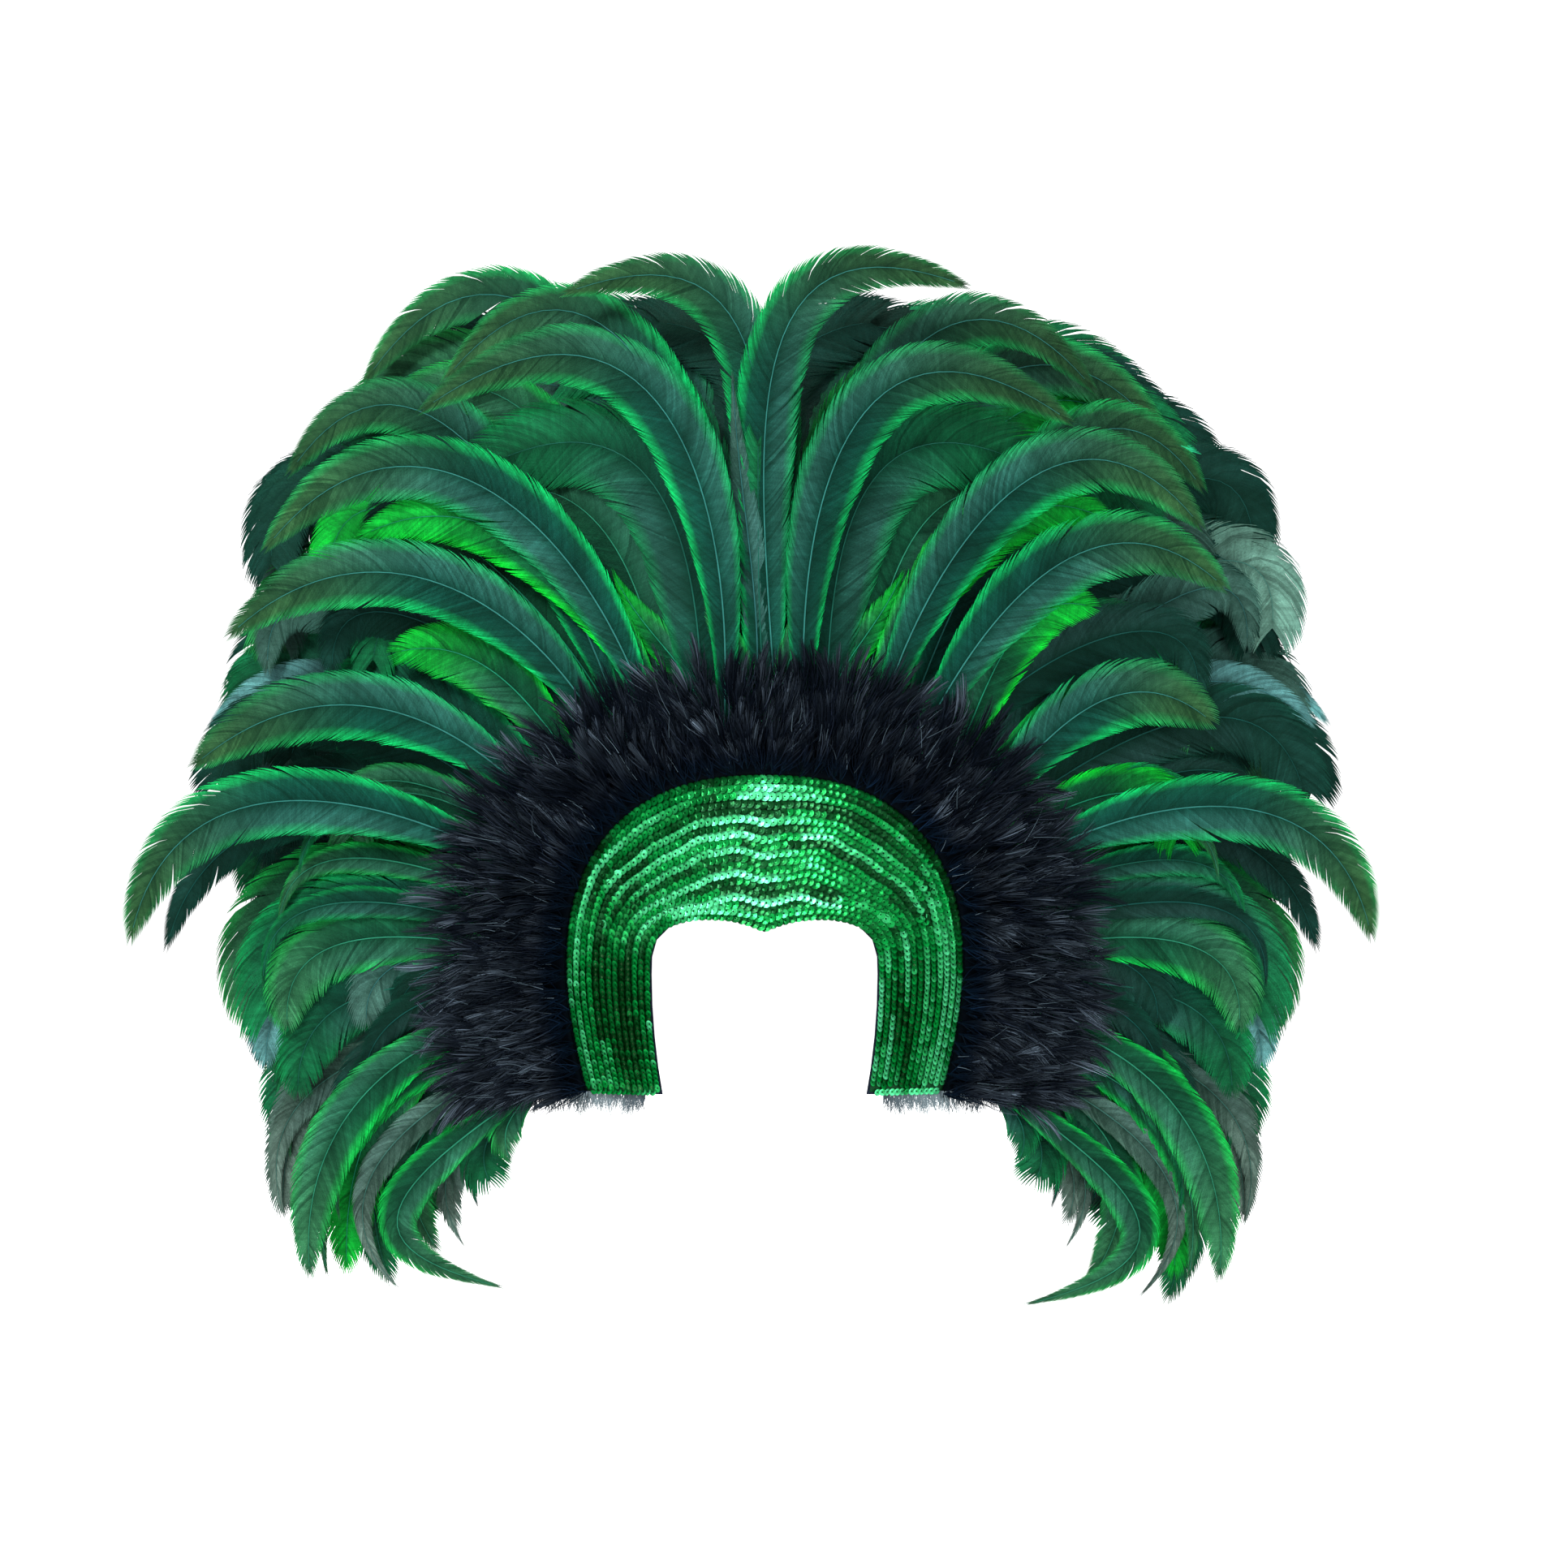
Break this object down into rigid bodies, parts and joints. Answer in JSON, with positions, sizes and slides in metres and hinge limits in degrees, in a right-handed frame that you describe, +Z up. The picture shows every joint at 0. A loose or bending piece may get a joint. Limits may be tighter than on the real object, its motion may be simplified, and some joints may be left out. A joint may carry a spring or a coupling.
{
  "type": "feather headdress",
  "caption": "Carnival headdress: sequinned face arch on felt, a dark fur-like collar and a fan of curved green plumes.",
  "frame": {"origin": "where the wearer's brow meets the back of the felt, at the tip of the widow's peak", "axes": "+Z up, the front faces -Y, +X to the wearer's left (the viewer's right); +Y runs back over the head"},
  "size_m": [0.757, 0.1691, 0.6408],
  "materials": {
    "navy_felt": "matt navy wool felt",
    "green_sequins": "mirror-bright green foil",
    "navy_fur": "fluffy, near black",
    "black_tape": "matt woven tape",
    "green_plumes": "silky dyed feather",
    "bright_plumes": "silky dyed feather",
    "dark_plumes": "silky dyed feather"
  },
  "bodies": {
    "root": {"back_plumes_crown_left": "dark_plumes", "back_plumes_crown_right": "dark_plumes", "back_plumes_low_left": "dark_plumes", "back_plumes_low_right": "dark_plumes", "back_plumes_shoulder_left": "dark_plumes", "back_plumes_shoulder_right": "dark_plumes", "back_plumes_side_left": "dark_plumes", "back_plumes_side_right": "dark_plumes", "felt_base": "navy_felt", "front_strip_left": "black_tape", "front_strip_right": "black_tape", "fur_collar_crown": "navy_fur", "fur_collar_leg_left": "navy_fur", "fur_collar_leg_right": "navy_fur", "fur_collar_shoulder_left": "navy_fur", "fur_collar_shoulder_right": "navy_fur", "middle_plumes_crown_left": "green_plumes", "middle_plumes_crown_right": "green_plumes", "middle_plumes_low_left": "green_plumes", "middle_plumes_low_right": "green_plumes", "middle_plumes_shoulder_left": "green_plumes", "middle_plumes_shoulder_right": "green_plumes", "middle_plumes_side_left": "green_plumes", "middle_plumes_side_right": "green_plumes", "plume_bright_lower_left": "bright_plumes", "plume_bright_lower_right": "bright_plumes", "plume_bright_upper_left": "bright_plumes", "plume_bright_upper_right": "bright_plumes", "plume_brow_left": "green_plumes", "plume_brow_right": "green_plumes", "plume_cheek_left": "green_plumes", "plume_cheek_right": "green_plumes", "plume_crest_left": "green_plumes", "plume_crest_right": "green_plumes", "plume_ear_left": "green_plumes", "plume_ear_right": "green_plumes", "plume_jaw_left": "green_plumes", "plume_jaw_right": "green_plumes", "plume_sweep_left": "green_plumes", "plume_sweep_right": "green_plumes", "plume_temple_left": "green_plumes", "plume_temple_right": "green_plumes", "plume_wing_left": "green_plumes", "plume_wing_right": "green_plumes", "sequin_panel": "green_sequins"}
  },
  "joints": []
}
